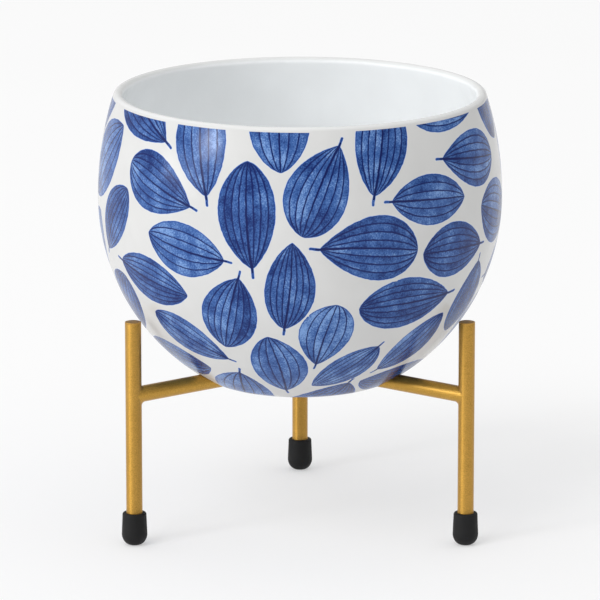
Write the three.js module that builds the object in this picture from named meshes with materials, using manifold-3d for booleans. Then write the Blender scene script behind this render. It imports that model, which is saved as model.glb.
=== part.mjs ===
// Jardiniere on a tripod stand: a glazed ceramic bowl that lifts off a welded tube frame.
// Millimetres, +Z up, floor at z = 0. The bowl's axis is the Z axis and the front is -Y.
import * as THREE from 'three';
import { mergeVertices } from 'three/addons/utils/BufferGeometryUtils.js';
import { ParametricGeometry } from 'three/addons/geometries/ParametricGeometry.js';
import Module from 'manifold-3d';

const wasm = await Module();
wasm.setup();

// ---- Sizes of the bowl ----
const bowlRadius = 125;          // outside, at the widest level
const lowerHeight = 117;         // from the flat base up to the widest level
const upperHeight = 63.2;        // from the widest level up to where the outside turns into the lip
const rimInset = 9.9;            // how far the outside draws in from the widest level to the lip
const baseRadius = 53.4;         // where the side curve would meet the base, before rounding
const baseRounding = 32;         // radius between the base and the side
const bowlWall = 6;              // wall thickness, also the thickness of the lip
const floorThickness = 6;        // ceramic left above the top of the grooves
const floorRounding = 16;        // radius inside, between the floor and the side

// ---- Sizes of the stand ----
const tubeRadius = 5;            // legs and arms are the same round tube
const tubeWall = 1.2;
const legTopHeight = 140.4;      // upper end of each leg tube
const legClearance = 6.06;       // free space between the bowl and the inner side of the leg tops
const armHeight = 94.6;          // arm axis where it meets the leg axis
const armRise = 5.2;             // how much higher the arm axes meet in the middle
const grooveDepth = 14.1;        // how far the middle of the stand sits up inside the base
const lowerFilletRadius = 2.6;   // weld under each arm
const upperFilletRadius = 1.5;   // weld above each arm
const weldEndAngle = 30;         // degrees round the arm's side where each weld starts and stops
const capHeadThickness = 0.8;    // closing cap in the top of each leg
const capStemLength = 6;
const edgeRounding = 0.4;        // broken edge of caps

// ---- Sizes of the rubber feet ----
const footHeight = 20.5;
const footWidestRadius = 7.9;
const footTopRadius = 7.4;
const footFlatRadius = 2.2;      // flat spot on the floor
const footDomeHeight = 6.9;      // from the floor up to the widest level
const footTopRounding = 1.3;
const footFloorThickness = 4.2;  // rubber under the end of the tube

// ---- Clearances ----
const seatGap = 0.3;             // between pieces that seat on, in or round one another

// ---- Values worked out from the sizes ----
const middleTopHeight = armHeight + armRise + tubeRadius;
const baseHeight = middleTopHeight + seatGap - grooveDepth;
const widestHeight = baseHeight + lowerHeight;
const floorHeight = middleTopHeight + seatGap + floorThickness;

// Both side curves of the bowl are arcs that stand upright at the widest level.
const lowerDraw = bowlRadius - baseRadius;
const lowerArcRadius = (lowerHeight ** 2 + lowerDraw ** 2) / (2 * lowerDraw);
const lowerArcCentre = bowlRadius - lowerArcRadius;
const upperArcRadius = (upperHeight ** 2 + rimInset ** 2) / (2 * rimInset);
const upperArcCentre = bowlRadius - upperArcRadius;

// The legs stand clear of the widest part of the bowl that lies below their tops.
const dropToLegTop = Math.max(0, widestHeight - legTopHeight - capHeadThickness);
const bowlAtLegTop = lowerArcCentre + Math.sqrt(lowerArcRadius ** 2 - dropToLegTop ** 2);
const legCircleRadius = bowlAtLegTop + legClearance + tubeRadius;
const armSlope = Math.atan2(armRise, legCircleRadius);

// The legs stand at equal turns, counted from the rear one.
const legSides = ['rear', 'front_left', 'front_right'];
const legAngle = (side) => Math.PI / 2 + (2 * Math.PI * legSides.indexOf(side)) / legSides.length;

const TURN_STEPS = 72;           // facets round the bowl
const TUBE_STEPS = 28;           // facets round a tube

// ---- Shared helpers ----

// A manifold solid from a three.js geometry.
function solidFrom(geometry) {
  geometry.deleteAttribute('normal');
  geometry.deleteAttribute('uv');
  const merged = mergeVertices(geometry);
  const corners = merged.index.array;
  const kept = [];
  for (let i = 0; i < corners.length; i += 3) {
    const [a, b, c] = corners.slice(i, i + 3);
    if (a !== b && b !== c && c !== a) kept.push(a, b, c);
  }
  return new wasm.Manifold(new wasm.Mesh({
    numProp: 3,
    vertProperties: new Float32Array(merged.attributes.position.array),
    triVerts: new Uint32Array(kept),
  }));
}

// A three.js geometry from a manifold solid.
function geometryFrom(solid) {
  const mesh = solid.getMesh();
  const geometry = new THREE.BufferGeometry();
  geometry.setAttribute('position', new THREE.BufferAttribute(mesh.vertProperties, 3));
  geometry.setIndex(new THREE.BufferAttribute(mesh.triVerts, 1));
  geometry.computeVertexNormals();
  return geometry;
}

// Points on a circular or elliptical arc in the (radius, height) plane, angles in degrees.
function arc(centreR, centreZ, radiusR, radiusZ, fromAngle, toAngle, steps) {
  const curve = new THREE.EllipseCurve(
    centreR, centreZ, radiusR, radiusZ,
    THREE.MathUtils.degToRad(fromAngle), THREE.MathUtils.degToRad(toAngle), toAngle < fromAngle);
  return curve.getPoints(steps);
}

// A solid turned about the Z axis from a profile that starts and ends on that axis.
function turned(profile, steps) {
  return new THREE.LatheGeometry(profile, steps).rotateX(Math.PI / 2);
}

// A straight bar of any section along the line from one point to another, the section's y upwards.
function barBetween(section, from, to) {
  const along = new THREE.Vector3().subVectors(to, from);
  const bar = new THREE.ExtrudeGeometry(section, {
    depth: along.length(), bevelEnabled: false, curveSegments: TUBE_STEPS / 2,
  });
  const ahead = along.normalize();
  const side = new THREE.Vector3(0, 0, 1).cross(ahead).normalize();
  const up = new THREE.Vector3().crossVectors(ahead, side);
  bar.applyMatrix4(new THREE.Matrix4().makeBasis(side, up, ahead).setPosition(from));
  return bar;
}

// ---- Bowl ----

// The outside runs from the base up the lower arc to the widest level and up the upper arc to the
// lip. The inside follows the same arcs, moved in by the wall.
function bowlProfile() {
  const rimTurn = Math.asin(upperHeight / upperArcRadius);
  const rimAngle = THREE.MathUtils.radToDeg(rimTurn);
  const lipRadius = bowlWall / 2;
  const lipR = upperArcCentre + (upperArcRadius - lipRadius) * Math.cos(rimTurn);
  const lipZ = widestHeight + (upperArcRadius - lipRadius) * Math.sin(rimTurn);

  // Half of the section from the axis along a flat bottom, round its corner and up the lower arc.
  function lowerHalf(radius, rounding, bottomZ, steps) {
    const drop = widestHeight - bottomZ - rounding;
    const cornerR = lowerArcCentre + Math.sqrt((radius - rounding) ** 2 - drop ** 2);
    const cornerZ = bottomZ + rounding;
    const meet = THREE.MathUtils.radToDeg(Math.atan2(-drop, cornerR - lowerArcCentre));
    return [
      new THREE.Vector2(0, bottomZ),
      ...arc(cornerR, cornerZ, rounding, rounding, -90, meet, steps),
      ...arc(lowerArcCentre, widestHeight, radius, radius, meet, 0, 10).slice(1),
    ];
  }

  return [
    ...lowerHalf(lowerArcRadius, baseRounding, baseHeight, 4),
    ...arc(upperArcCentre, widestHeight, upperArcRadius, upperArcRadius, 0, rimAngle, 5).slice(1),
    ...arc(lipR, lipZ, lipRadius, lipRadius, rimAngle, rimAngle + 180, 7).slice(1),
    ...arc(upperArcCentre, widestHeight, upperArcRadius - bowlWall, upperArcRadius - bowlWall,
      rimAngle, 0, 5).slice(1),
    ...lowerHalf(lowerArcRadius - bowlWall, floorRounding, floorHeight, 4).reverse().slice(1),
  ];
}

// A groove for one arm: round over the tube and straight below it, so the bowl lifts straight off.
function armGroove(angle) {
  const half = tubeRadius + seatGap;
  const section = new THREE.Shape();
  section.moveTo(-half, -grooveDepth - half);
  section.lineTo(half, -grooveDepth - half);
  section.absarc(0, 0, half, 0, Math.PI, false);
  section.closePath();
  const slope = new THREE.Vector3(legCircleRadius, 0, -armRise);
  const middle = new THREE.Vector3(0, 0, armHeight + armRise);
  const start = middle.clone().addScaledVector(slope, -tubeRadius / legCircleRadius);
  const end = middle.clone().add(slope);
  return solidFrom(barBetween(section, start, end).rotateZ(angle));
}

function bowl() {
  let body = solidFrom(turned(bowlProfile(), TURN_STEPS));
  for (const side of legSides) {
    body = body.subtract(armGroove(legAngle(side)));
  }
  return geometryFrom(body);
}

// ---- Stand, each piece in the plane y = 0 with its leg on the +X side ----

function legTube() {
  const bottom = footFloorThickness + seatGap;
  const profile = [
    new THREE.Vector2(tubeRadius - tubeWall, bottom),
    new THREE.Vector2(tubeRadius, bottom),
    new THREE.Vector2(tubeRadius, legTopHeight),
    new THREE.Vector2(tubeRadius - tubeWall, legTopHeight),
    new THREE.Vector2(tubeRadius - tubeWall, bottom),
  ];
  return geometryFrom(solidFrom(turned(profile, TUBE_STEPS)));
}

// The cap's head closes the end of the tube and its stem stands in the bore.
function legCap() {
  const stemRadius = tubeRadius - tubeWall - seatGap;
  const headTop = legTopHeight + capHeadThickness;
  const profile = [
    new THREE.Vector2(0, legTopHeight - capStemLength),
    new THREE.Vector2(stemRadius - edgeRounding, legTopHeight - capStemLength),
    new THREE.Vector2(stemRadius, legTopHeight - capStemLength + edgeRounding),
    new THREE.Vector2(stemRadius, legTopHeight),
    new THREE.Vector2(tubeRadius, legTopHeight),
    ...arc(tubeRadius - edgeRounding, headTop - edgeRounding, edgeRounding, edgeRounding, 0, 90, 3),
    new THREE.Vector2(0, headTop),
  ];
  return geometryFrom(solidFrom(turned(profile, TUBE_STEPS)));
}

// The arm is coped round the leg and mitred at 120 degrees against the other two arms.
function arm() {
  const section = new THREE.Shape().absarc(0, 0, tubeRadius, 0, 2 * Math.PI, false);
  section.holes.push(new THREE.Path().absarc(0, 0, tubeRadius - tubeWall, 0, 2 * Math.PI, true));
  const slope = new THREE.Vector3(legCircleRadius, 0, -armRise);
  const middle = new THREE.Vector3(0, 0, armHeight + armRise);
  const tube = solidFrom(barBetween(
    section,
    middle.clone().addScaledVector(slope, -tubeRadius / legCircleRadius),
    middle.clone().add(slope)));
  const leg = new THREE.CylinderGeometry(
    tubeRadius + seatGap, tubeRadius + seatGap, legTopHeight, TUBE_STEPS);
  leg.rotateX(Math.PI / 2).translate(legCircleRadius, 0, legTopHeight / 2);
  const tip = seatGap / 2 / Math.sin(Math.PI / 3);
  const third = new THREE.Shape([
    new THREE.Vector2(tip, 0),
    new THREE.Vector2(tip + legCircleRadius, -legCircleRadius * Math.tan(Math.PI / 3)),
    new THREE.Vector2(tip + legCircleRadius, legCircleRadius * Math.tan(Math.PI / 3)),
  ]);
  const wedge = new THREE.ExtrudeGeometry(third, { depth: legTopHeight, bevelEnabled: false });
  return geometryFrom(tube.subtract(solidFrom(leg)).intersect(solidFrom(wedge)));
}

// The weld is a rolling-ball fillet: a ball that touches both tubes rolls round the arm's upper
// or lower side, and the metal fills the space between the ball and the joint.
function weld(filletRadius, isUpper) {
  const steps = 9;
  const arcSteps = 4;
  const reach = tubeRadius + filletRadius;
  const legEnd = new THREE.Vector3(legCircleRadius, 0, armHeight);
  const inward = new THREE.Vector3(-legCircleRadius, 0, armRise).normalize();
  const side = new THREE.Vector3(0, isUpper ? -1 : 1, 0);
  const up = new THREE.Vector3(armRise, 0, legCircleRadius).normalize();
  const sign = isUpper ? 1 : -1;

  // Centre of the ball at an angle round the arm, and the directions to both tubes from it.
  function ballAt(angle) {
    const sideways = reach * Math.cos(angle);
    const upwards = sign * reach * Math.sin(angle);
    const fromLegAxis = Math.sqrt(reach ** 2 - sideways ** 2);
    const alongArm = (fromLegAxis + upwards * Math.sin(armSlope)) / Math.cos(armSlope);
    const offset = side.clone().multiplyScalar(sideways).addScaledVector(up, upwards);
    const centre = legEnd.clone().addScaledVector(inward, alongArm).add(offset);
    const toArm = offset.clone().negate().normalize();
    const toLeg = new THREE.Vector3(legEnd.x - centre.x, -centre.y, 0).normalize();
    return { centre, toArm, toLeg };
  }

  // Round the section: an arc on the ball from the leg to the arm, then back by the joint's root.
  function surface(u, v, target) {
    const row = Math.round(u * (steps + 2));
    const share = THREE.MathUtils.clamp((row - 1) / steps, 0, 1);
    const start = THREE.MathUtils.degToRad(weldEndAngle);
    const { centre, toArm, toLeg } = ballAt(start + share * (Math.PI - 2 * start));
    const root = toArm.clone().add(toLeg).multiplyScalar(filletRadius * 1.2);
    const corner = Math.round(v * (arcSteps + 1)) % (arcSteps + 1);
    const offset = new THREE.Vector3();
    if (row === 0 || row === steps + 2) {
      offset.copy(root).multiplyScalar(0.6);
    } else if (corner === arcSteps) {
      offset.copy(root);
    } else {
      const blend = corner / (arcSteps - 1);
      offset.copy(toLeg).lerp(toArm, blend).normalize().multiplyScalar(filletRadius - seatGap);
    }
    target.copy(centre).add(offset);
  }

  let bead = solidFrom(new ParametricGeometry(surface, steps + 2, arcSteps + 1));
  const grown = tubeRadius + seatGap;
  const leg = new THREE.CylinderGeometry(grown, grown, legTopHeight, TUBE_STEPS);
  leg.rotateX(Math.PI / 2).translate(legCircleRadius, 0, legTopHeight / 2);
  const section = new THREE.Shape().absarc(0, 0, grown, 0, 2 * Math.PI, false);
  const middle = new THREE.Vector3(0, 0, armHeight + armRise);
  bead = bead.subtract(solidFrom(leg)).subtract(solidFrom(barBetween(section, middle, legEnd)));
  return geometryFrom(bead);
}

// ---- Rubber foot: a domed cap that the end of the leg tube stands in ----
function foot() {
  const straightTop = footHeight - footTopRounding;
  const domeWidth = footWidestRadius - footFlatRadius;
  const socket = tubeRadius + seatGap;
  const profile = [
    new THREE.Vector2(0, 0),
    ...arc(footFlatRadius, footDomeHeight, domeWidth, footDomeHeight, -90, 0, 6),
    ...arc(footTopRadius - footTopRounding, straightTop, footTopRounding, footTopRounding, 0, 90, 3),
    new THREE.Vector2(socket, footHeight),
    new THREE.Vector2(socket, footFloorThickness),
    new THREE.Vector2(0, footFloorThickness),
  ];
  return geometryFrom(solidFrom(turned(profile, TUBE_STEPS)));
}

// ---- Materials ----
function material(color, roughness, metalness) {
  return new THREE.MeshStandardMaterial({ color, roughness, metalness });
}
const glaze = () => material(0xecebe8, 0.18, 0);
const goldPaint = () => material(0xb98f3f, 0.38, 0.6);
const bronzeCap = () => material(0x7a5a2c, 0.5, 0.4);
const rubber = () => material(0x1d1d1f, 0.85, 0);

// ---- Assembly ----
const jardiniere = new THREE.Group();

function place(parent, name, geometry, paint, x = 0) {
  const mesh = new THREE.Mesh(geometry, paint);
  mesh.name = name;
  mesh.position.x = x;
  parent.add(mesh);
}

place(jardiniere, 'bowl', bowl(), glaze());
for (const side of legSides) {
  const third = new THREE.Group();
  third.rotation.z = legAngle(side);
  place(third, `leg_tube_${side}`, legTube(), goldPaint(), legCircleRadius);
  place(third, `leg_cap_${side}`, legCap(), bronzeCap(), legCircleRadius);
  place(third, `foot_${side}`, foot(), rubber(), legCircleRadius);
  place(third, `arm_${side}`, arm(), goldPaint());
  place(third, `weld_lower_${side}`, weld(lowerFilletRadius, false), goldPaint());
  place(third, `weld_upper_${side}`, weld(upperFilletRadius, true), goldPaint());
  jardiniere.add(third);
}

export default jardiniere;
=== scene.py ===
# %% [markdown]
# # A leaf-printed jardiniere on a gold tripod stand
#
# This lesson dresses a planter: a thick glazed bowl with a blue leaf print, resting on a low stand of
# welded round tube with rubber feet. The measured solids come first, as the frame that everything
# fits. We load them, read the main sizes from their boxes, and then build the visible pieces.

import bpy
import numpy as np
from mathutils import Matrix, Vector


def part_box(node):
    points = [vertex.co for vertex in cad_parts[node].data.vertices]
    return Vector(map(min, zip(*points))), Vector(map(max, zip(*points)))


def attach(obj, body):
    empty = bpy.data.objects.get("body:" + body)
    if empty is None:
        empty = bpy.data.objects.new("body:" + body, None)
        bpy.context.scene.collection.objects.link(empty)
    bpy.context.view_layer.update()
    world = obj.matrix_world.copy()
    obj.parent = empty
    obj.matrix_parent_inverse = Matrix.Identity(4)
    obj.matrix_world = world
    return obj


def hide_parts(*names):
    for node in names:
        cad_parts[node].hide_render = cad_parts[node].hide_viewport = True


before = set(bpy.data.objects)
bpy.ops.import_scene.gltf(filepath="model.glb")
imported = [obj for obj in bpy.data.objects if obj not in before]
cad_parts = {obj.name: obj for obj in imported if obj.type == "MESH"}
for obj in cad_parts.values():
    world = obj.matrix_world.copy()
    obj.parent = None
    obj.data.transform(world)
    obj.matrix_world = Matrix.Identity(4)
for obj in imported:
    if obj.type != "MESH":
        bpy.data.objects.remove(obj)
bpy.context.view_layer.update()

# %% [markdown]
# ## Sizes
#
# What another piece depends on is read from the frame, so the looks can't drift away from the solids.
# The few sizes that a box can't tell, such as a wall's thickness, are named here once, in metres.

# %% Sizes from the frame
MM = 0.001
TAU = 2 * np.pi
SIDES = ("front_left", "front_right", "rear")

bowl_low, bowl_high = (np.array(c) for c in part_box("bowl"))
bowl_radius = bowl_high[0]
bowl_base = bowl_low[2]
bowl_top = bowl_high[2]
bowl_wall = 6 * MM
bowl_floor = 6 * MM  # thickness over the middle of the stand
lower_height = 117 * MM  # base up to the widest level
widest_height = bowl_base + lower_height
base_radius = 53.4 * MM  # where the side curve would meet the base, before rounding
base_rounding = 32 * MM
rim_inset = 9.9 * MM  # how far the wall draws in from the widest level to the lip
upper_height = 63.2 * MM  # widest level up to where the lip's rounding starts
floor_rounding = 16 * MM

leg_low, leg_high = (np.array(c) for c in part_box("leg_tube_rear"))
tube_radius = (leg_high[0] - leg_low[0]) / 2
leg_circle = (leg_high[1] + leg_low[1]) / 2
leg_bottom, leg_top = leg_low[2], leg_high[2]
cap_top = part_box("leg_cap_rear")[1][2]
arm_low, arm_high = (np.array(c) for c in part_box("arm_rear"))
arm_middle_height = arm_high[2] - tube_radius  # arm axis over the bowl's axis
arm_leg_height = arm_low[2] + tube_radius  # arm axis at the leg
foot_low, foot_high = (np.array(c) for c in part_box("foot_rear"))
foot_radius = (foot_high[0] - foot_low[0]) / 2
foot_height = foot_high[2]
leg_turn = {"rear": 0.0, "front_left": TAU / 3, "front_right": 2 * TAU / 3}
print(f"bowl {2 * bowl_radius / MM:.1f} mm across, {bowl_base / MM:.1f} to {bowl_top / MM:.1f} mm high")
print(f"tube radius {tube_radius / MM:.2f} mm on a circle of {leg_circle / MM:.1f} mm")
print(f"arm axis {arm_leg_height / MM:.1f} mm at the leg, {arm_middle_height / MM:.1f} mm in the middle")

# %% [markdown]
# ## Surfaces from arrays
#
# Every new piece is a grid of points worked out with numpy. One helper turns such a grid into a mesh.
# The grid's second direction runs round and joins itself, and one point closes each of its ends, so
# that the piece has no open edge.

# %% Grid to mesh
SMOOTH_ANGLE = 35.0  # degrees: an edge with a larger turn stays sharp


def closed_mesh(name, start_point, grid, end_point, smooth_angle=SMOOTH_ANGLE):
    """A mesh from one start point, rings of a grid with shape (rows, columns, 3), and one end point.

    Point j of ring i has the number 1 + i * columns + j. A quad joins rings i and i + 1 at points j
    and j + 1, where a ring's last point joins its first again. A fan of triangles joins the first and
    the last ring to their end points.
    """
    rows, columns = grid.shape[:2]
    points = np.concatenate([[start_point], grid.reshape(-1, 3), [end_point]]).astype(np.float32)
    ring = 1 + columns * np.arange(rows - 1)[:, None]
    j = np.arange(columns)
    ahead = (j + 1) % columns
    quads = np.stack([ring + j, ring + ahead, ring + columns + ahead, ring + columns + j], -1)
    quads = quads.reshape(-1, 4)
    start_fan = np.stack([np.zeros_like(j), 1 + ahead, 1 + j], -1)
    last = 1 + (rows - 1) * columns
    end_fan = np.stack([np.full_like(j, len(points) - 1), last + j, last + ahead], -1)
    corner_count = np.concatenate([np.full(len(start_fan), 3), np.full(len(quads), 4),
                                   np.full(len(end_fan), 3)])
    corners = np.concatenate([start_fan.ravel(), quads.ravel(), end_fan.ravel()])

    mesh = bpy.data.meshes.new(name)
    mesh.vertices.add(len(points))
    mesh.vertices.foreach_set("co", points.ravel())
    mesh.loops.add(len(corners))
    mesh.loops.foreach_set("vertex_index", corners.astype(np.int32))
    mesh.polygons.add(len(corner_count))
    starts = np.concatenate([[0], np.cumsum(corner_count)[:-1]])
    mesh.polygons.foreach_set("loop_start", starts.astype(np.int32))
    mesh.update(calc_edges=True)
    mesh.validate()
    mesh.polygons.foreach_set("use_smooth", np.ones(len(mesh.polygons), bool))
    mesh.set_sharp_from_angle(angle=np.radians(smooth_angle))
    return mesh


def turned_mesh(name, profile, turns, centre=(0.0, 0.0), smooth_angle=SMOOTH_ANGLE):
    """A closed solid of revolution about an upright axis.

    The profile is a list of (radius, height) that starts and ends at radius 0 and runs anticlockwise
    round the section: x = centre x + radius * cos(angle), y = centre y + radius * sin(angle).
    """
    profile = np.asarray(profile, float)
    angle = TAU * np.arange(turns) / turns
    radius, height = profile[1:-1, 0], profile[1:-1, 1]
    grid = np.stack([centre[0] + np.outer(radius, np.cos(angle)),
                     centre[1] + np.outer(radius, np.sin(angle)),
                     np.repeat(height[:, None], turns, 1)], -1)
    return closed_mesh(name, (*centre, profile[0, 1]), grid, (*centre, profile[-1, 1]), smooth_angle)


def arc(centre, radius, start, end, steps):
    """Points centre + radius * (cos, sin) for steps + 1 angles from start to end, in degrees.

    A pair of radii gives an arc of an ellipse.
    """
    angle = np.radians(np.linspace(start, end, steps + 1))
    radii = np.broadcast_to(radius, 2)
    return np.stack([centre[0] + radii[0] * np.cos(angle), centre[1] + radii[1] * np.sin(angle)], -1)


def straight(start, end, steps):
    """Points that divide the line from start to end into equal steps."""
    share = np.linspace(0, 1, steps + 1)[:, None]
    return np.asarray(start) * (1 - share) + np.asarray(end) * share


def joined(*parts):
    """One profile from several, without repeating the point where two of them meet."""
    points = np.concatenate(parts)
    step = np.linalg.norm(np.diff(points, axis=0), axis=1)
    return points[np.concatenate([[True], step > 0.0001 * MM])]


def turned_about_axis(points, angle):
    """Points turned about the Z axis: x' = x cos a - y sin a, y' = x sin a + y cos a."""
    c, s = np.cos(angle), np.sin(angle)
    x, y, z = points[..., 0], points[..., 1], points[..., 2]
    return np.stack([x * c - y * s, x * s + y * c, z], -1)


def new_object(name, data):
    """An object for a mesh, a light or a camera, linked to the scene."""
    made = bpy.data.objects.new(name, data)
    bpy.context.scene.collection.objects.link(made)
    return made


def add_piece(name, mesh, body, replaced, material):
    """Puts a mesh in the scene as one piece that rides on a body and stands for the replaced solids."""
    piece = new_object(name, mesh)
    mesh.materials.append(material)
    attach(piece, body)
    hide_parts(*replaced)
    print(f"{name}: {len(mesh.polygons)} faces")


# %% [markdown]
# ## Shader maths in plain Python
#
# A pattern in a material is a sum of small formulas, and wiring Math nodes by hand hides them. One
# small class wraps a node's socket and overloads the operators, so that 1 - mask adds the Math node
# for us. Every other node comes from one method that takes its type, settings and inputs.

# %% Formulas as nodes
class Wire:
    """A socket of a material, on which + - * / and the named functions add Math nodes."""

    def __init__(self, shader, socket):
        self.shader, self.socket = shader, socket

    def math(self, operation, *others):
        return self.shader.node("ShaderNodeMath", {"operation": operation},
                                dict(enumerate([self, *others])))

    def __add__(self, other): return self.math("ADD", other)
    def __radd__(self, other): return self.math("ADD", other)
    def __sub__(self, other): return self.math("SUBTRACT", other)
    def __rsub__(self, other): return (self * -1.0) + other
    def __mul__(self, other): return self.math("MULTIPLY", other)
    def __rmul__(self, other): return self.math("MULTIPLY", other)
    def __truediv__(self, other): return self.math("DIVIDE", other)
    def __gt__(self, other): return self.math("GREATER_THAN", other)
    def __lt__(self, other): return self.math("LESS_THAN", other)
    def __pow__(self, other): return self.math("POWER", other)

    def size(self): return self.math("ABSOLUTE")
    def part(self): return self.math("FRACT")
    def whole(self): return self.math("FLOOR")
    def root(self): return self.math("SQRT")
    def smaller(self, other): return self.math("MINIMUM", other)
    def larger(self, other): return self.math("MAXIMUM", other)

    def axis(self, number):
        """One part of a vector: 0, 1 or 2 for X, Y or Z."""
        return self.shader.node("ShaderNodeSeparateXYZ", None, {0: self}, output=number)

    def ramp(self, low, high, start=0.0, end=1.0):
        """start below low, end above high and a soft S-curve between, where low is less than high."""
        return self.shader.node(
            "ShaderNodeMapRange", {"interpolation_type": "SMOOTHSTEP"},
            {"Value": self, "From Min": low, "From Max": high, "To Min": start, "To Max": end})


class Shader:
    """The node tree of one material, with its Principled shader ready."""

    def __init__(self, name, **settings):
        self.material = bpy.data.materials.new(name)
        self.material.use_nodes = True
        self.tree = self.material.node_tree
        self.surface = self.tree.nodes["Principled BSDF"]
        for socket, value in settings.items():
            self.surface.inputs[socket.replace("_", " ")].default_value = value

    def node(self, kind, settings=None, inputs=None, output=0):
        """Adds one node: its settings are set first, then each input gets its value or its link."""
        node = self.tree.nodes.new(kind)
        for name, value in (settings or {}).items():
            setattr(node, name, value)
        for name, value in (inputs or {}).items():
            if isinstance(value, Wire):
                self.tree.links.new(value.socket, node.inputs[name])
            else:
                node.inputs[name].default_value = value
        return Wire(self, node.outputs[output])

    def feed(self, **wires):
        """Links wires to inputs of the Principled shader."""
        for socket, wire in wires.items():
            self.tree.links.new(wire.socket, self.surface.inputs[socket.replace("_", " ")])

    def place(self):
        """Object coordinates, in metres."""
        return self.node("ShaderNodeTexCoord", output="Object")

    def noise(self, place, cells, detail=2.0, roughness=0.5):
        """Cloud noise from about 0.2 to 0.8 with a number of cells in each metre."""
        return self.node("ShaderNodeTexNoise", None,
                         {"Vector": place, "Scale": cells, "Detail": detail, "Roughness": roughness})

    def blend(self, factor, low, high):
        """A colour that is low where factor is 0 and high where it is 1.

        Inputs 6 and 7 and output 2 are the Mix node's sockets for colours.
        """
        low, high = (c if isinstance(c, Wire) else (*c, 1.0) for c in (low, high))
        return self.node("ShaderNodeMix", {"data_type": "RGBA"}, {0: factor, 6: low, 7: high}, output=2)

    def bump(self, height, distance):
        """A bump normal from a height that runs from 0 to 1, scaled to a distance in metres."""
        return self.node("ShaderNodeBump", None, {"Height": height, "Distance": distance, "Strength": 1.0})


def tone(red, green, blue):
    """A colour as a picture shows it, 0 to 255, as the linear light that shaders work in.

    With c from 0 to 1 it is ((c + 0.055) / 1.055) ^ 2.4, and c / 12.92 for the darkest.
    """
    c = np.array([red, green, blue]) / 255.0
    return tuple(float(v) for v in np.where(c <= 0.04045, c / 12.92, ((c + 0.055) / 1.055) ** 2.4))


# %% [markdown]
# ## The gold paint
#
# The stand is steel tube with a satin metallic paint. Up close such paint isn't even: fine metal
# flakes make it sparkle a little, the coat is thicker in some places than in others, and the sprayed
# surface has a faint orange-peel texture. Noise at three scales gives that: clouds in the colour,
# flakes in colour, gloss and bump, and the peel in the bump. The upright tubes also keep fine marks
# round their girth, from grinding before the paint. Such marks spread a highlight up and down, as the
# anisotropic setting does, so these tubes have a brighter and a darker flank. The upright tubes' paint
# is also a lighter copy of the arms' paint, which paints in part of their brightness as painted light.

# %% Gold paint
FLAKE_CELLS = 2000.0  # noise cells in a metre, so a flake is about 0.5 mm
PEEL_CELLS = 700.0
CLOUD_CELLS = 120.0
FLAKE_SHARE = 0.85  # of the change in colour; the clouds have the rest
PAINT_RELIEF = 0.06 * MM


def gold_paint(name, light, dark, roughness, ring_marks=0.0):
    """Metallic paint between two tones: flakes and faint clouds in its colour, and a fine bump."""
    paint = Shader(name, Metallic=0.85, Roughness=roughness, IOR=1.5, Coat_Weight=0.4,
                   Coat_Roughness=0.35, Anisotropic=ring_marks, Anisotropic_Rotation=0.25)
    place = paint.place()
    clouds = paint.noise(place, CLOUD_CELLS, detail=3.0)
    flakes = paint.noise(place, FLAKE_CELLS, detail=1.0)
    peel = paint.noise(place, PEEL_CELLS)
    mix = (clouds * (1 - FLAKE_SHARE) + flakes * FLAKE_SHARE).ramp(0.25, 0.75)
    paint.feed(Base_Color=paint.blend(mix, dark, light),
               Roughness=flakes.ramp(0.3, 0.7, roughness - 0.06, roughness + 0.1),
               Normal=paint.bump(flakes * 0.6 + peel * 0.4, PAINT_RELIEF))
    return paint.material


gold = gold_paint("gold_paint", tone(213, 166, 70), tone(172, 129, 40), 0.42)
# Painted light: the legs' tones are lighter than the arms' tones of the same paint.
gold_leg_lit_copy = gold_paint("ground_gold_paint_lit_copy", tone(225, 176, 80), tone(182, 137, 46), 0.5, ring_marks=0.9)
gold_end = gold_paint("cap_paint", tone(218, 170, 76), tone(180, 134, 52), 0.5)

# %% [markdown]
# ## Legs and their caps
#
# Each leg is a length of round tube that stands in a rubber foot and is closed at the top by a flat
# cap. A profile turned about the leg's axis gives the tube. The end of the profile has a small
# rounding: a sawn and painted edge is never sharp, and it catches the light.

# %% Legs and caps
def leg_axis(side):
    """Where a leg's axis stands: the rear leg's place turned about the bowl's axis."""
    return turned_about_axis(np.array([0.0, leg_circle, 0.0]), leg_turn[side])[:2]


bottom_edge = 0.4 * MM  # roundings of a tube's two ends
top_edge = 0.15 * MM
leg_profile = joined(
    [(0, leg_bottom)],
    arc((tube_radius - bottom_edge, leg_bottom + bottom_edge), bottom_edge, -90, 0, 3),
    straight((tube_radius, leg_bottom + bottom_edge), (tube_radius, leg_top - top_edge), 24),
    arc((tube_radius - top_edge, leg_top - top_edge), top_edge, 0, 90, 2),
    [(0, leg_top)])

neck_radius = tube_radius - 0.6 * MM
neck_bottom = leg_top - 1 * MM
hairline = 0.02 * MM  # the line that shows between tube and cap
cap_lower_edge = 0.18 * MM
cap_upper_edge = 0.3 * MM
cap_inset = hairline + cap_lower_edge  # from the tube's side to the middle of that edge
cap_profile = joined(
    [(0, neck_bottom), (neck_radius, neck_bottom), (neck_radius, leg_top + hairline)],
    arc((tube_radius - cap_inset, leg_top + cap_inset), cap_lower_edge, -90, 0, 2),
    arc((tube_radius - cap_upper_edge, cap_top - cap_upper_edge), cap_upper_edge, 0, 90, 4),
    straight((tube_radius - cap_upper_edge, cap_top), (0.0, cap_top), 4))

LEG_TURNS = 64
for side in SIDES:
    axis = leg_axis(side)
    add_piece(f"leg_{side}", turned_mesh(f"leg_{side}", leg_profile, LEG_TURNS, axis), "stand",
              [f"leg_tube_{side}"], gold_leg_lit_copy)
    add_piece(f"cap_{side}", turned_mesh(f"cap_{side}", cap_profile, LEG_TURNS, axis), "stand",
              [f"leg_cap_{side}"], gold_end)

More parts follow.
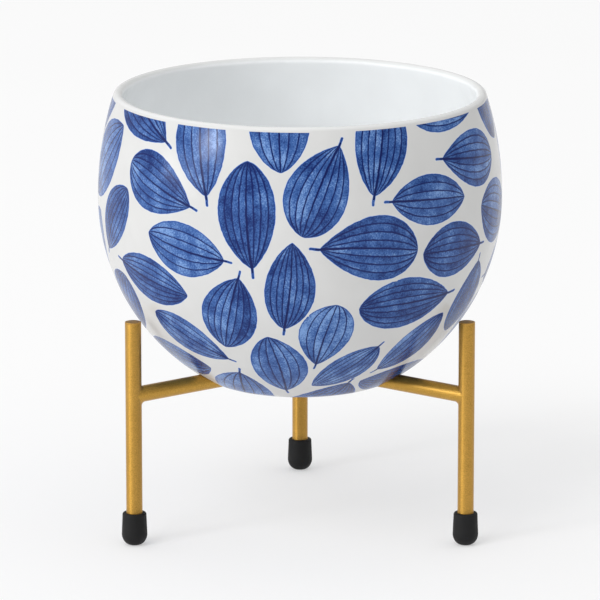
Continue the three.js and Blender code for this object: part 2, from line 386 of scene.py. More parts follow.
# %% [markdown]
# ## Arms
#
# An arm is the same tube on a gentle slope: it leaves the leg and climbs a few millimetres to the
# middle, where the three arms meet under the bowl. The tube is a circle carried along the straight
# axis. It runs on into the leg, as a coped tube seems to once it has been welded and painted, and it
# ends on the mitre plane between it and its neighbours.

# %% Arms
arm_slope = np.arctan2(arm_middle_height - arm_leg_height, leg_circle)
arm_middle = np.array([0.0, 0.0, arm_middle_height])
arm_ahead = np.array([0.0, np.cos(arm_slope), -np.sin(arm_slope)])  # directions of the rear arm
arm_up = np.array([0.0, np.sin(arm_slope), np.cos(arm_slope)])
arm_across = np.array([1.0, 0.0, 0.0])
MITRE_ANGLE = np.radians(60)  # half the angle between two arms
mitre_gap = 0.15 * MM  # from the mitre plane to the arm's end
inner_point = 0.2 * MM  # from the bowl's axis to the point that closes the arm
arm_overrun = 1 * MM  # past the leg's axis


def arm_mesh(side, turns=56, steps=30):
    """A round bar along the line from the middle to the leg.

    Ring point = axis point + r * (cos b * sideways + sin b * upwards), where upwards leans back by the
    arm's slope. Near the middle each ring point is moved out along the axis to the mitre plane, which
    is where outward distance = |sideways distance| / tan 60 degrees.
    """
    angle = TAU * np.arange(turns)[:, None] / turns
    offset = tube_radius * (np.cos(angle) * arm_across + np.sin(angle) * arm_up)
    length = leg_circle / np.cos(arm_slope) + arm_overrun
    mitre = (np.abs(offset[:, 0]) / np.tan(MITRE_ANGLE) + mitre_gap - offset[:, 1]) / arm_ahead[1]
    share = np.linspace(0, 1, steps)[:, None]
    along = mitre * (1 - share) + length * share
    grid = arm_middle + along[..., None] * arm_ahead + offset
    start, grid, end = (turned_about_axis(part, leg_turn[side]) for part in (
        arm_middle + inner_point * arm_ahead, grid[:, ::-1], arm_middle + length * arm_ahead))
    return closed_mesh(f"arm_bar_{side}", start, grid, end)


for side in SIDES:
    add_piece(f"arm_bar_{side}", arm_mesh(side), "stand", [f"arm_{side}"], gold)

# %% [markdown]
# ## Weld beads
#
# Where an arm meets its leg, weld metal fills the corner. The shape of such a fillet is that of a
# ball rolled along the corner: it touches both tubes and the metal fills what the ball can't reach.
# The ball under the arm is the larger one. Rolled round the side, the corner opens until both tubes
# share one tangent and the fillet runs out to nothing.

# %% Weld beads
WELD_BALLS = {"upper": 1.6 * MM, "lower": 2.8 * MM}
WELD_END = 12.0  # degrees round the arm from level to where a bead ends
ROOT_DEPTH = 1.25  # in ball radii: how deep in the corner a bead's hidden side lies


def weld_mesh(name, side, ball, upper, steps=40, arc_steps=10):
    """The space between a rolling ball and the corner of two equal tubes.

    At an angle b round the arm the ball's centre lies at r + ball from both axes: sideways (r + ball)
    cos b, upwards (r + ball) sin b, and as far along the arm as makes its distance from the leg's
    axis r + ball. The section is an arc of the ball from the leg to the arm, closed by a point
    inside the corner.
    """
    sign = 1.0 if upper else -1.0
    reach = tube_radius + ball
    angle = np.radians(np.linspace(WELD_END, 180 - WELD_END, steps))[:, None]
    offset = sign * reach * (np.cos(angle) * arm_across + np.sin(angle) * arm_up)
    from_leg = np.sqrt(reach ** 2 - offset[:, :1] ** 2)
    along = (from_leg + sign * reach * np.sin(angle) * np.sin(arm_slope)) / np.cos(arm_slope)
    leg_end = np.array([0.0, leg_circle, arm_leg_height])
    centre = leg_end - along * arm_ahead + offset
    to_arm = -offset / reach
    to_leg = (leg_end - centre) * [1, 1, 0]
    to_leg /= np.linalg.norm(to_leg, axis=1, keepdims=True)
    share = np.linspace(0, 1, arc_steps)[None, :, None]
    rays = to_leg[:, None] * (1 - share) + to_arm[:, None] * share
    rays /= np.linalg.norm(rays, axis=2, keepdims=True)
    root = centre + ROOT_DEPTH * ball * (to_arm + to_leg)
    grid = np.concatenate([centre[:, None] + ball * rays, root[:, None]], 1)
    grid = turned_about_axis(grid[:, ::-1], leg_turn[side])
    return closed_mesh(name, grid[0].mean(0), grid, grid[-1].mean(0))


for side in SIDES:
    for level, ball in WELD_BALLS.items():
        name = f"weld_bead_{level}_{side}"
        add_piece(name, weld_mesh(name, side, ball, level == "upper"), "stand",
                  [f"weld_{level}_{side}"], gold)

# %% [markdown]
# ## Rubber feet
#
# A foot is a moulded rubber cap pushed over the end of the leg: a tapered cup with a rounded upper
# edge and a domed bottom. Moulded rubber is dull and slightly grainy and holds a little dust, so the
# material's colour and roughness vary a little and the bump is a fine grain.

# %% Rubber feet
GRAIN_CELLS = 2400.0  # noise cells in a metre
DUST_CELLS = 260.0
GRAIN_RELIEF = 0.08 * MM

rubber = Shader("black_rubber", Roughness=0.62, IOR=1.5, Specular_IOR_Level=0.3)
place = rubber.place()
grain = rubber.noise(place, GRAIN_CELLS)
dust = rubber.noise(place, DUST_CELLS, detail=3.0)
rubber.feed(
    Base_Color=rubber.blend(dust.ramp(0.35, 0.75), tone(12, 12, 13), tone(24, 24, 25)),
    Roughness=dust.ramp(0.3, 0.7, 0.55, 0.72),
    Normal=rubber.bump(grain, GRAIN_RELIEF))

foot_top_radius = 7.4 * MM
foot_flat = 2.2 * MM  # radius of the flat that stands on the floor
foot_dome = 6.9 * MM  # height of the domed bottom
foot_rounding = 1.3 * MM
mouth_radius = tube_radius + 0.5 * MM
throat_radius = tube_radius + 0.2 * MM
throat_depth = 0.3 * MM
socket_radius = tube_radius + 0.1 * MM
socket_top, socket_bottom = foot_height - 0.8 * MM, foot_height - 12 * MM
foot_profile = joined(
    straight((0.0, 0.0), (foot_flat, 0.0), 2),
    arc((foot_flat, foot_dome), (foot_radius - foot_flat, foot_dome), -90, 0, 20),
    straight((foot_radius, foot_dome), (foot_top_radius, foot_height - foot_rounding), 10),
    arc((foot_top_radius - foot_rounding, foot_height - foot_rounding), foot_rounding, 0, 90, 8),
    straight((mouth_radius, foot_height), (throat_radius, foot_height - throat_depth), 2),
    straight((socket_radius, socket_top), (socket_radius, socket_bottom), 2),
    [(0.0, socket_bottom)])

FOOT_TURNS = 72
for side in SIDES:
    name = f"rubber_foot_{side}"
    add_piece(name, turned_mesh(name, foot_profile, FOOT_TURNS, leg_axis(side)), "stand",
              [f"foot_{side}"], rubber.material)

# %% [markdown]
# ## The bowl's form
#
# The bowl is one thick cast wall. Its section is two arcs that stand upright at the widest level: one
# runs down to a flat base, the other up to a half-round lip, and the inside follows them at the wall's
# thickness. Turning that section gives the whole body. The rows are close together outside, because
# the leaf print needs small faces there.

# %% Section of the bowl
def fitted_arc(height, draw):
    """Radius of the arc that starts upright and draws in by draw over height: (h^2 + d^2) / 2d."""
    return (height ** 2 + draw ** 2) / (2 * draw)


lower_arc = fitted_arc(lower_height, bowl_radius - base_radius)
upper_arc = fitted_arc(upper_height, rim_inset)
lower_centre = bowl_radius - lower_arc
upper_centre = bowl_radius - upper_arc
rim_angle = np.degrees(np.arcsin(upper_height / upper_arc))
seat_gap = 0.3 * MM  # between an arm and its groove
floor_height = arm_middle_height + tube_radius + seat_gap + bowl_floor
outer_row = 1.9 * MM  # height of a row of faces outside
inner_row = 3.2 * MM
FLAT_ROWS, LIP_ROWS = 14, 16
BOWL_TURNS = 400
BOWL_SMOOTH_ANGLE = 40.0


def lower_section(radius, rounding, bottom, row_height):
    """From the axis along a flat bottom, round its corner and up the lower arc to the widest level."""
    drop = widest_height - bottom - rounding
    corner = (lower_centre + np.sqrt((radius - rounding) ** 2 - drop ** 2), bottom + rounding)
    meet = np.degrees(np.arctan2(-drop, corner[0] - lower_centre))
    corner_rows = int(np.ceil(np.radians(meet + 90) * rounding / row_height)) + 2
    arc_rows = int(np.ceil(np.radians(-meet) * radius / row_height))
    return joined(straight((0, bottom), (corner[0], bottom), FLAT_ROWS),
                  arc(corner, rounding, -90, meet, corner_rows),
                  arc((lower_centre, widest_height), radius, meet, 0, arc_rows))


outside = joined(lower_section(lower_arc, base_rounding, bowl_base, outer_row),
                 arc((upper_centre, widest_height), upper_arc, 0, rim_angle, 34))
inside = joined(arc((upper_centre, widest_height), upper_arc - bowl_wall, rim_angle, 0, 20),
                lower_section(lower_arc - bowl_wall, floor_rounding, floor_height, inner_row)[::-1])
lip_out, lip_in = outside[-1], inside[0]
section = joined(outside,
                 arc((lip_out + lip_in) / 2, bowl_wall / 2, rim_angle, rim_angle + 180, LIP_ROWS),
                 inside)
bowl_mesh = turned_mesh("glazed_bowl", section, BOWL_TURNS, smooth_angle=BOWL_SMOOTH_ANGLE)
print(f"bowl section: {len(section)} rows, lip at {section[:, 1].max() / MM:.1f} mm")

# %% [markdown]
# ## Grooves under the base
#
# The arms of the stand lie in three grooves in the underside, which is how the bowl sits down over its
# stand and can't slide off. A groove is round over the tube and straight below it, so that the bowl
# lifts straight off. Cutting is what a Boolean modifier is for: each groove is a bar of that section,
# and the result is kept as the bowl's mesh.

# %% Cut the grooves
def groove_bar(side, depth=30 * MM):
    """A bar along an arm whose section is a half circle on straight sides that go down by depth."""
    half = tube_radius + seat_gap
    round_top = arc((0, 0), half, 0, 180, 28)
    section = np.concatenate([[(half, -depth)], round_top, [(-half, -depth)]])
    offset = section[:, :1] * arm_across + section[:, 1:] * arm_up
    along = np.linspace(-tube_radius, leg_circle, 8)[:, None, None]
    grid = arm_middle + along * arm_ahead + offset
    grid = turned_about_axis(grid[:, ::-1], leg_turn[side])
    return closed_mesh(f"groove_{side}", grid[0].mean(0), grid, grid[-1].mean(0))


def cut(mesh, cutters, smooth_angle):
    """The mesh that is left when each cutter's mesh is taken away from it."""
    body = new_object("cut_body", mesh)
    tools = [new_object("cut_tool", cutter) for cutter in cutters]
    for tool in tools:
        modifier = body.modifiers.new("cut", "BOOLEAN")
        modifier.operation, modifier.solver, modifier.object = "DIFFERENCE", "MANIFOLD", tool
    depsgraph = bpy.context.evaluated_depsgraph_get()
    result = bpy.data.meshes.new_from_object(body.evaluated_get(depsgraph))
    result.materials.clear()
    for used in [body, *tools]:
        bpy.data.objects.remove(used, do_unlink=True)
    result.polygons.foreach_set("use_smooth", np.ones(len(result.polygons), bool))
    result.set_sharp_from_angle(angle=np.radians(smooth_angle))
    return result


bowl_mesh = cut(bowl_mesh, [groove_bar(side) for side in SIDES], BOWL_SMOOTH_ANGLE)
bowl_mesh.name = "glazed_bowl"
print(f"bowl with grooves: {len(bowl_mesh.polygons)} faces")

# %% [markdown]
# ## Laying out the leaves
#
# The print is a generic one: leaves scattered over white, none touching another, turned every way and
# cut off under the lip. Leaves at random places would overlap, so the layout is found the way pebbles
# settle in a tray. Each leaf is a short row of discs along its midrib. Discs of two leaves that come
# too close push those leaves apart and turn them, and a leaf with room to spare grows a little while
# a crowded one shrinks. A few hundred rounds give an even scatter. The random start is seeded, so
# every run is the same.

# %% Leaf outline
OUTLINE_POWER = 1.5  # the two powers of a leaf's outline add up to this
STALK_LENGTH = 0.075  # in leaf lengths, as the next ones are
STALK_WIDTH = 0.016


def half_width(t, size, blunt):
    """Half a leaf's width at t from its foot to its tip, all in leaf lengths.

    size * t^blunt * (1 - t)^(1.5 - blunt). A low blunt makes a round foot and a long tip.
    """
    t = np.clip(t, 0, 1)
    return size * t ** blunt * (1 - t) ** (OUTLINE_POWER - blunt)


LEAVES = 74
rng = np.random.default_rng(12)
blunt = rng.uniform(0.7, 0.92, LEAVES)
ratio = rng.uniform(0.52, 0.68, LEAVES)
leaf_size = ratio / 2 / half_width(blunt / OUTLINE_POWER, 1.0, blunt)
full_length = rng.uniform(50, 61, LEAVES) * MM
seed = rng.uniform(0, 1, LEAVES)
bend = rng.uniform(-1, 1, LEAVES)

disc_t = np.array([-0.065, 0.08, 0.2, 0.36, 0.54, 0.72, 0.87, 0.96])  # the first is the stalk's end
outline_t = np.linspace(0, 1, 80)
outline_v = half_width(outline_t[None, :], leaf_size[:, None], blunt[:, None])
disc_share = np.hypot(outline_t[None, None, :] - disc_t[None, :, None], outline_v[:, None, :]).min(2)
disc_share[:, 0] = 2 * STALK_WIDTH
print(f"leaves {ratio.min():.2f} to {ratio.max():.2f} as wide as long")

# %% Leaf layout
WHITE_GAP = 4.8 * MM  # between the discs of two leaves
ROUNDS = 600
EARLY_STEP, LATE_STEP = 0.22, 0.1  # share of a push that a leaf follows in one round
LATE_ROUNDS = 0.7  # where the late rounds start, as a share of all
TURN_STEP = 8.0
TURN_LIMIT = 0.08  # radians in one round
ROOMY, CROWDED = 0.4 * MM, 1.6 * MM  # pushes under which a leaf grows and over which it shrinks
GROW, SHRINK = 1.004, 0.994
SMALLEST, LARGEST = 0.62, 1.08  # limits of a leaf's growth
NEVER_ZERO = 1e-9  # metres, added to a distance that divides
inner_limit = 30 * MM  # the flat middle of the base has no leaves
past_lip = 30 * MM  # the surface goes on this far, for leaves that the lip cuts
lowest_s = 16 * MM  # limits of a leaf's middle, along the wall
highest_over_lip = 6 * MM

rim_direction = (outside[-1] - outside[-2]) / np.linalg.norm(outside[-1] - outside[-2])
over_lip = outside[-1] + np.outer(np.linspace(0, past_lip, 16)[1:], rim_direction)
surface = np.concatenate([outside[outside[:, 0] > inner_limit], over_lip])
surface_s = np.concatenate([[0], np.cumsum(np.linalg.norm(np.diff(surface, axis=0), axis=1))])
lip_s = surface_s[-1] - past_lip


def surface_frame(theta, s):
    """Point, sideways, upwards and outwards directions, and radius, at a turn and a length of wall.

    Sideways follows the turn, upwards follows the wall from the base to the lip and straight on past
    it, and outwards is their cross product.
    """
    radius, height = np.interp(s, surface_s, surface[:, 0]), np.interp(s, surface_s, surface[:, 1])
    ends = [np.interp(s + step, surface_s, surface[:, k]) for k in (0, 1) for step in (-1 * MM, 1 * MM)]
    slope_r, slope_z = ends[1] - ends[0], ends[3] - ends[2]
    length = np.hypot(slope_r, slope_z)
    slope_r, slope_z = slope_r / length, slope_z / length
    c, k, zero = np.cos(theta), np.sin(theta), np.zeros_like(theta)
    point = np.stack([radius * c, radius * k, height], -1)
    sideways = np.stack([-k, c, zero], -1)
    upwards = np.stack([slope_r * c, slope_r * k, slope_z], -1)
    return point, sideways, upwards, np.cross(sideways, upwards), radius


def leaf_discs():
    """Centre and radius of every leaf's discs on the surface, with the leaves' own directions.

    A disc's centre lies along the midrib from the leaf's middle, less the sag of the round wall, which
    is along^2 / (2 * bowl radius).
    """
    point, sideways, upwards, outwards, radius = surface_frame(theta, s)
    ahead = np.cos(tilt)[:, None] * sideways + np.sin(tilt)[:, None] * upwards
    length = full_length * grown
    along = (disc_t[None, :] - 0.5) * length[:, None]
    sag = along ** 2 / (2 * bowl_radius)
    centre = point[:, None] + along[..., None] * ahead[:, None] - sag[..., None] * outwards[:, None]
    return point, sideways, upwards, outwards, radius, ahead, length, centre, disc_share * length[:, None]


GOLDEN_TURN = TAU * 0.381966  # turns of this size never line up, so the start is even
ring_area = np.concatenate([[0], np.cumsum(np.diff(surface_s) * (surface[1:, 0] + surface[:-1, 0]))])
area_share = (np.arange(LEAVES) + 0.5) / LEAVES * np.interp(lip_s, surface_s, ring_area)
theta = np.arange(LEAVES) * GOLDEN_TURN
s = np.interp(area_share, ring_area, surface_s)
tilt = rng.uniform(0, TAU, LEAVES)
FIRST_GROWTH = 0.75
grown = np.full(LEAVES, FIRST_GROWTH)
owner = np.repeat(np.arange(LEAVES), len(disc_t))
strangers = owner[:, None] != owner[None, :]
for round_number in range(ROUNDS):
    point, sideways, upwards, outwards, radius, ahead, length, centre, size = leaf_discs()
    flat, flat_size = centre.reshape(-1, 3), size.ravel()
    between = flat[:, None] - flat[None, :]
    distance = np.linalg.norm(between, axis=2) + NEVER_ZERO
    press = np.clip(flat_size[:, None] + flat_size[None, :] + WHITE_GAP - distance, 0, None) * strangers
    push = (between * (press / distance)[..., None]).sum(1).reshape(LEAVES, -1, 3)
    crowding = press.max(1).reshape(LEAVES, -1).max(1)
    total = push.sum(1)
    step = EARLY_STEP if round_number < LATE_ROUNDS * ROUNDS else LATE_STEP
    theta += step * (total * sideways).sum(1) / radius
    s = np.clip(s + step * (total * upwards).sum(1), lowest_s, lip_s + highest_over_lip)
    torque = (np.cross(centre - point[:, None], push).sum(1) * outwards).sum(1)
    tilt += np.clip(step * TURN_STEP * torque / length ** 2, -TURN_LIMIT, TURN_LIMIT)
    grown *= np.where(crowding < ROOMY, GROW, np.where(crowding > CROWDED, SHRINK, 1.0))
    grown = np.clip(grown, SMALLEST, LARGEST)
point, sideways, upwards, outwards, radius, ahead, length, centre, size = leaf_discs()
print(f"{LEAVES} leaves {length.min() / MM:.0f} to {length.max() / MM:.0f} mm long, "
      f"closest discs lack {crowding.max() / MM:.1f} mm of the gap")

# %% [markdown]
# ## From layout to coordinates
#
# A shader can draw one leaf very well if it knows where on that leaf it is. So each face of the bowl is
# given to its nearest leaf, and a UV map stores the place on that leaf: how far along the midrib and
# how far to the side, in leaf lengths. The seams between two leaves' faces lie in the white gaps, where
# nothing is drawn. Two more maps hold what differs from leaf to leaf. The last one says how much of the
# inside's brighter white a point has: none outside, a part on the lip and all of it inside. That brighter
# white is painted light, and the lip keeps little of it, which paints shade where its highlight falls.

# %% Leaf coordinates
OTHER_SIDE = 70 * MM  # a place farther than this from a leaf's middle isn't on it
FAR_AWAY = 1.0  # metres, added for such places
NO_LEAF = -9.0  # a place along a leaf where nothing is drawn
outer_skin = 1.5 * MM  # a face this far under the outside still belongs to it
# Painted shade on the lip: it keeps mostly the outside's darker white, which tones down its highlight.
LIP_LIGHT_SHARE = 0.27  # share of the inside's white on the lip
LIP_START = 0.15  # share of the lip's width over which it rises to that
LIP_END_POWER = 16  # keeps the rise to the inside's white to the lip's last part


def read_array(items, name, width, kind=np.float32):
    """One property of all items of a mesh as an array with width numbers in a row."""
    values = np.empty(len(items) * width, kind)
    items.foreach_get(name, values)
    return values.reshape(-1, width)


corner_vertex = read_array(bowl_mesh.loops, "vertex_index", 1, np.int32)[:, 0]
vertices = read_array(bowl_mesh.vertices, "co", 3).astype(float)
face_centre = read_array(bowl_mesh.polygons, "center", 3).astype(float)
face_corners = read_array(bowl_mesh.polygons, "loop_total", 1, np.int32)[:, 0]

aside = np.cross(outwards, ahead)


def on_leaf(places, leaf):
    """Along and across a leaf, in leaf lengths, for places near it: parts of the offset from it."""
    offset = places - point[leaf]
    return ((offset * ahead[leaf]).sum(-1) / length[leaf] + 0.5,
            (offset * aside[leaf]).sum(-1) / length[leaf], offset)


def gap_to_leaf(places, leaf):
    """Rough distance from places to a leaf's outline, less than 0 inside.

    Off the blade it is sqrt(past the ends^2 + (|across| - half width)^2), and on it it is
    |across| - half width. Places on the other side of the bowl are far away.
    """
    t, v, offset = on_leaf(places, leaf)
    past = t - np.clip(t, -STALK_LENGTH, 1)
    beside = np.abs(v) - np.maximum(half_width(t, leaf_size[leaf], blunt[leaf]), STALK_WIDTH)
    gap = np.where(past == 0, beside, np.hypot(past, np.maximum(beside, 0)))
    return gap * length[leaf] + np.where(np.linalg.norm(offset, axis=-1) > OTHER_SIDE, FAR_AWAY, 0.0)


nearest = np.full(len(face_centre), np.inf)
face_leaf = np.zeros(len(face_centre), int)
for leaf in range(LEAVES):
    away = gap_to_leaf(face_centre, leaf)
    face_leaf = np.where(away < nearest, leaf, face_leaf)
    nearest = np.minimum(away, nearest)
side_rows = outside[FLAT_ROWS:]
wall_radius = np.interp(face_centre[:, 2], side_rows[:, 1], side_rows[:, 0])
is_outside = np.hypot(face_centre[:, 0], face_centre[:, 1]) > wall_radius - outer_skin
corner_leaf = np.repeat(face_leaf, face_corners)
leaf_t, leaf_v, _ = on_leaf(vertices[corner_vertex], corner_leaf)
leaf_t = np.where(np.repeat(is_outside, face_corners), leaf_t, NO_LEAF)

vertex_radius = np.hypot(vertices[:, 0], vertices[:, 1])
over_the_lip = np.clip((lip_out[0] - vertex_radius) / (lip_out[0] - lip_in[0]), 0, 1)
at_lip = vertices[:, 2] > min(lip_out[1], lip_in[1]) - 0.1 * MM
# The lip's painted shade: a low share of the inside's lighter white, rising only at its last part.
lip_light_share = (LIP_LIGHT_SHARE * np.clip(over_the_lip / LIP_START, 0, 1)
             + (1 - LIP_LIGHT_SHARE) * over_the_lip ** LIP_END_POWER)
# Painted light: the inside gets a lighter white than the outside, and the lip a small share of it.
inner_light_share = np.where(at_lip[corner_vertex], lip_light_share[corner_vertex],
                       np.where(np.repeat(is_outside, face_corners), 0.0, 1.0))

maps = {"leaf_place": (leaf_t, leaf_v),
        "leaf_form": (leaf_size[corner_leaf], blunt[corner_leaf]),
        "leaf_look": (seed[corner_leaf], bend[corner_leaf]),
        "painted_inner_light": (inner_light_share, inner_light_share)}
for name, pair in maps.items():
    layer = bowl_mesh.uv_layers.new(name=name)
    layer.data.foreach_set("uv", np.stack(pair, -1).astype(np.float32).ravel())
print(f"{is_outside.sum()} outside faces shared among {LEAVES} leaves")

# %% [markdown]
# ## Drawing one leaf
#
# The leaves look painted with a wash: a soft blue that pools unevenly and thins out, with visible
# pigment grain, a thin outline, and a few dark veins that arch from foot to tip beside the midrib. All
# of it follows from how far a point lies inside the outline, and from its share of the way from the
# midrib to that outline. A hand is never steady, so a little noise moves both.

# %% Leaf drawing
print_top = float(bowl_top - 2.7 * MM)
print_bottom = float(bowl_base + 0.4 * MM)
stalk_margin = 3 * MM  # a stalk ends this far under the line where the blades are cut off

# In leaf lengths:
HAND_WANDER = 0.014  # what noise from 0 to 1 moves the lines by
LINE = 0.0098  # width of the outline
RIB_TIP, RIB_SWELL = 0.0055, 0.008  # the midrib's half width at the tip, and what the foot has more
MIDRIB_BEND = 0.16
SOFT_EDGE = 0.004
POOL_EDGE = 0.07  # how far from the outline the wash still pools

# Noise cells in a metre:
WANDER_ALONG, WANDER_ACROSS = 210.0, 270.0
POOL_CELLS, PIGMENT_CELLS, PEN_CELLS = 85.0, 1150.0, 420.0


def map_parts(shader, name):
    """The two numbers of a UV map."""
    uv = shader.node("ShaderNodeUVMap", {"uv_map": name})
    return uv.axis(0), uv.axis(1)


def chance(shader, *parts):
    """A random number from 0 to 1 that is the same wherever the parts are the same."""
    cell = shader.node("ShaderNodeCombineXYZ", None, dict(enumerate(parts)))
    return shader.node("ShaderNodeTexWhiteNoise", {"noise_dimensions": "3D"}, {"Vector": cell})


def leaf_margin(t, v, size, blunt):
    """How far a point lies inside the outline of a blade and its stalk, in leaf lengths.

    For the blade it is (half width - |v|) / sqrt(1 + slope^2), where the slope of the outline is
    half width * (blunt / t - (1.5 - blunt) / (1 - t)). The stalk is a line with a round end.
    """
    u = t.larger(0.002).smaller(0.998)
    half = size * u ** blunt * (1.0 - u) ** (OUTLINE_POWER - blunt)
    slope = half * (blunt / u - (OUTLINE_POWER - blunt) / (1.0 - u))
    blade = (half - v.size()) / (slope * slope + 1.0).root() - (t - u).size() * 8.0
    beyond = (-STALK_LENGTH - t).larger(0.0) + (t - 0.06).larger(0.0)
    stalk = STALK_WIDTH - (beyond * beyond + v * v).root()
    return blade.larger(stalk), half, slope


def leaf_lines(t, side, margin, half, slope, count, arch):
    """Masks of the side veins, the outline and the midrib, and the row of a point.

    The lane of a point is |v| / half width: 0 on the midrib and 1 on the outline. A side vein keeps to
    one lane, so it arches from foot to tip, and the fraction of row = lane * number of lanes says how
    far a point lies from it. Its slope is lane * slope of the outline.
    """
    lane = side / half.larger(0.01)
    row = lane * count
    lean = lane * slope
    to_vein = (0.5 - (row.part() - 0.5).size()) * half / count / (lean * lean + 1.0).root()
    vein_width = (half / count * 0.2).smaller(LINE * 0.86)
    vein = (to_vein / vein_width).ramp(0.6, 1.2, 1.0, 0.0) * (t > 0.02) * (lane < 0.97)
    outline = (margin / LINE).ramp(0.8, 1.8, 1.0, 0.0)
    rib_width = RIB_TIP + RIB_SWELL * (1.0 - arch)
    midrib = (side / rib_width).ramp(0.75, 1.25, 1.0, 0.0) * (t > -0.03) * (t < 0.985)
    return vein, outline, midrib, row


def leaf_wash(shader, place, margin, row, right, seed):
    """Colour of the wash, from pale where its depth is 0 to deep blue where it is 1.

    The depth starts from 0.5, or 0.66 at the outline. Each cause moves it by (cause - 0.5) * weight:
    the chance of a strip between two veins, of half a leaf and of a leaf, pools, pigment grain, and
    the way across a strip.
    """
    strip = chance(shader, row.whole(), right * 5.0, seed * 90.0)
    half_leaf = chance(shader, right * 3.0 + 1.0, seed * 50.0)
    pools = shader.noise(place, POOL_CELLS, detail=3.0, roughness=0.6)
    grain = shader.noise(place, PIGMENT_CELLS, roughness=0.65)
    depth = margin.ramp(0.0, POOL_EDGE, 0.66, 0.5)
    for cause, weight in ((strip, 0.32), (half_leaf, 0.26), (seed, 0.34), (pools, 1.7), (grain, 1.6),
                          (row.part(), -0.2)):
        depth = depth + (cause - 0.5) * weight
    wash = shader.blend(depth.ramp(-0.1, 0.55), tone(122, 158, 212), tone(56, 95, 160))
    return shader.blend(depth.ramp(0.45, 1.1), wash, tone(6, 40, 104))


def leaf_print(shader, place, height):
    """Mask and colour of the leaf print: the wash, then the outline, the veins and the midrib.

    The very edge is a clear lighter blue, where the colour has crept under the glaze.
    """
    t, v = map_parts(shader, "leaf_place")
    size, blunt = map_parts(shader, "leaf_form")
    seed, bend = map_parts(shader, "leaf_look")
    t = t + (shader.noise(place, WANDER_ALONG) - 0.5) * HAND_WANDER
    arch = t.larger(0.0).smaller(1.0)
    wander = (shader.noise(place, WANDER_ACROSS) - 0.5) * HAND_WANDER
    v = v - bend * MIDRIB_BEND * arch * (1.0 - arch) + wander
    margin, half, slope = leaf_margin(t, v, size, blunt)
    top = print_top - (t < 0.0) * stalk_margin
    printed = margin.ramp(-0.001, SOFT_EDGE) * (height < top) * (height > print_bottom)

    three_or_four = (seed > 0.45) + 3.0
    vein, outline, midrib, row = leaf_lines(t, v.size(), margin, half, slope, three_or_four, arch)
    wash = leaf_wash(shader, place, margin, row, v > 0.0, seed)
    strength = shader.noise(place, PEN_CELLS).ramp(0.3, 0.6, 0.85, 1.0)
    colour = shader.blend(outline * 0.9, wash, tone(10, 54, 130))
    colour = shader.blend(vein * strength, colour, tone(0, 22, 88))
    colour = shader.blend(midrib * 0.95, colour, tone(0, 18, 82))
    return printed, shader.blend(margin.ramp(0.001, 2 * SOFT_EDGE), tone(84, 144, 226), colour)


# %% [markdown]
# ## Glaze
#
# The body is white ceramic under a clear glaze. Its white is painted lighter inside than outside, as
# painted light and painted shade, and most of the lip keeps near the outside's white, which paints shade
# where the highlight falls on its top. The glaze is smooth but not flat: a very low bump makes the
# highlights swim a little, and the gloss varies slightly. The print stops at a line just under the lip,
# and the lip itself stays white.

# %% Glaze
SWIM_CELLS, GLOSS_CELLS, HAZE_CELLS = 45.0, 90.0, 30.0  # noise cells in a metre
SWIM_RELIEF = 0.6 * MM

glaze = Shader("leaf_print_glaze", Roughness=0.2, IOR=1.5, Specular_IOR_Level=0.25)
place = glaze.place()
printed, leaf_colour = leaf_print(glaze, place, place.axis(2))
cloud = glaze.noise(place, HAZE_CELLS).ramp(0.3, 0.7)
# Painted light and shade: the inside's white is lighter than the outside's white of the same glaze.
white = glaze.blend(map_parts(glaze, "painted_inner_light")[0],
                    glaze.blend(cloud, tone(208, 208, 207), tone(212, 212, 211)),
                    glaze.blend(cloud, tone(244, 246, 247), tone(247, 249, 250)))
glaze.feed(Base_Color=glaze.blend(printed, white, leaf_colour),
           Roughness=glaze.noise(place, GLOSS_CELLS).ramp(0.3, 0.7, 0.17, 0.24),
           Normal=glaze.bump(glaze.noise(place, SWIM_CELLS), SWIM_RELIEF))
add_piece("glazed_bowl", bowl_mesh, "bowl", ["bowl"], glaze.material)

# %% [markdown]
# ## Floor
#
# The floor is a wide plane of matt white that fills the view. Two fifths of what the camera sees of
# it is plain white and the rest is its lit surface, which keeps the object's soft shadow. Metal and
# glaze see the same pale floor, and what it sends back to the object stays the lit surface's light.

# %% Floor
PLAIN_SHARE = 0.4  # of what a seen ray gets from the floor
FLOOR_CELLS = 3.0
FLOOR_REACH = 30.0  # metres from the middle to each side


def seen_ray(shader):
    """1 for rays from the camera, from gloss and through glass, and 0 for the others."""
    path = [shader.node("ShaderNodeLightPath", output=name)
            for name in ("Is Camera Ray", "Is Glossy Ray", "Is Transmission Ray")]
    return path[0].larger(path[1]).larger(path[2])


floor_shader = Shader("pale_floor", Roughness=0.9, Specular_IOR_Level=0.0)
floor_shader.feed(Base_Color=floor_shader.blend(
    floor_shader.noise(floor_shader.place(), FLOOR_CELLS), tone(246, 246, 246), tone(248, 248, 248)))
plain_white = floor_shader.node("ShaderNodeEmission", None, {"Color": (1.0, 1.0, 1.0, 1.0)})
lit_surface = Wire(floor_shader, floor_shader.surface.outputs[0])
shown_floor = floor_shader.node("ShaderNodeMixShader", None, {
    0: seen_ray(floor_shader) * PLAIN_SHARE, 1: lit_surface, 2: plain_white})
floor_output = floor_shader.tree.nodes["Material Output"]
floor_shader.tree.links.new(shown_floor.socket, floor_output.inputs["Surface"])

floor_mesh = bpy.data.meshes.new("studio_floor")
corners = [(x * FLOOR_REACH, y * FLOOR_REACH, 0) for x, y in ((-1, -1), (1, -1), (1, 1), (-1, 1))]
floor_mesh.from_pydata(corners, [], [(0, 1, 2, 3)])
floor_mesh.materials.append(floor_shader.material)
floor = new_object("studio_floor", floor_mesh)

# %% [markdown]
# ## Light
#
# Most of the light is a pale surround, lighter overhead and on the left than on the right. A large soft
# window at the upper left throws the faint shadow to the right. A small bright panel below it makes the
# soft highlight under the lip, and a wide dim one farther round to the side gives the tubes and the
# bowl their brighter flank.

# %% Light
PANEL_DISTANCE = 10.0  # metres


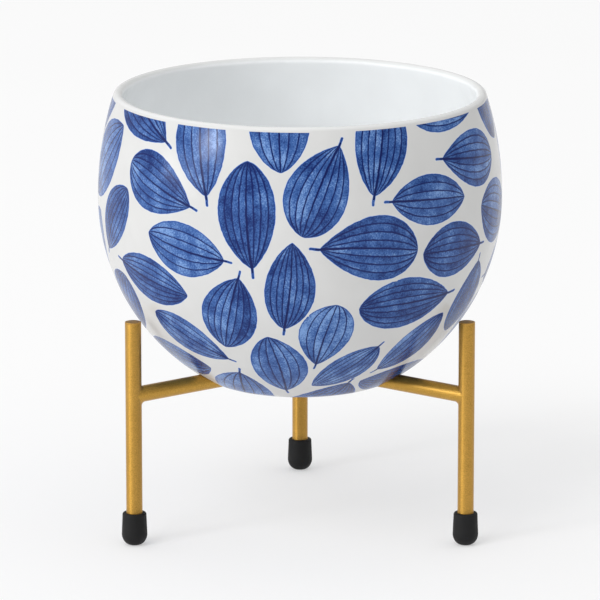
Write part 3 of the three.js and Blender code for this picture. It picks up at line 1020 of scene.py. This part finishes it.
def aim(thing, height, turn, rise, distance):
    """Points a light or a camera at the bowl's axis at a height, from a turn and a rise in degrees.

    The turn counts from the viewer's side towards the right, so the direction away from the target
    is (sin turn * cos rise, -cos turn * cos rise, sin rise). Lights and cameras look along their -Z.
    """
    a, e = np.radians(turn), np.radians(rise)
    target = Vector((0.0, 0.0, height))
    away = Vector((np.sin(a) * np.cos(e), -np.cos(a) * np.cos(e), np.sin(e)))
    thing.location = target + distance * away
    thing.rotation_mode = "QUATERNION"
    thing.rotation_quaternion = (target - thing.location).to_track_quat("-Z", "Y")


def panel(name, radiance, turn, rise, width, height):
    """A soft rectangular light of a radiance L and an area A, which needs the power pi * A * L."""
    data = bpy.data.lights.new(name, "AREA")
    data.shape, data.size, data.size_y = "RECTANGLE", width, height
    data.energy = float(np.pi * width * height * radiance)
    aim(new_object(name, data), float(widest_height), turn, rise, PANEL_DISTANCE)


panel("window", radiance=3.6, turn=-40, rise=50, width=4.0, height=4.5)
panel("low_panel", radiance=16.0, turn=-55, rise=16, width=2.0, height=1.9)
panel("side_panel", radiance=3.7, turn=-72, rise=4, width=5.0, height=1.4)


class Sky(Shader):
    """The node tree of the world, with its background as the surface."""

    def __init__(self, name):
        world = bpy.data.worlds.new(name)
        bpy.context.scene.world = world
        world.use_nodes = True
        self.tree = world.node_tree
        self.surface = self.tree.nodes["Background"]


left_horizon = (0.76,) * 3
right_horizon = (0.4,) * 3
overhead = (0.94,) * 3
sky = Sky("studio")
direction = sky.node("ShaderNodeTexCoord", output="Generated")
horizon = sky.blend(direction.axis(0).ramp(-1.0, 1.0), left_horizon, right_horizon)
sky.feed(Color=sky.blend(direction.axis(2).ramp(0.0, 1.0), horizon, overhead))

# %% [markdown]
# ## Camera
#
# A product picture is taken from far off with a long lens, which keeps upright legs upright. The
# camera looks down a little, just enough to show the inside of the far wall.

# %% Camera
camera_data = bpy.data.cameras.new("camera")
camera_data.sensor_width = 36.0
camera_data.lens = 314.2
camera_data.clip_end = 100.0
camera = new_object("camera", camera_data)
aim(camera, height=0.1408, turn=0.0, rise=13.44, distance=3.257)
bpy.context.scene.camera = camera
bpy.context.scene.view_settings.view_transform = "Standard"
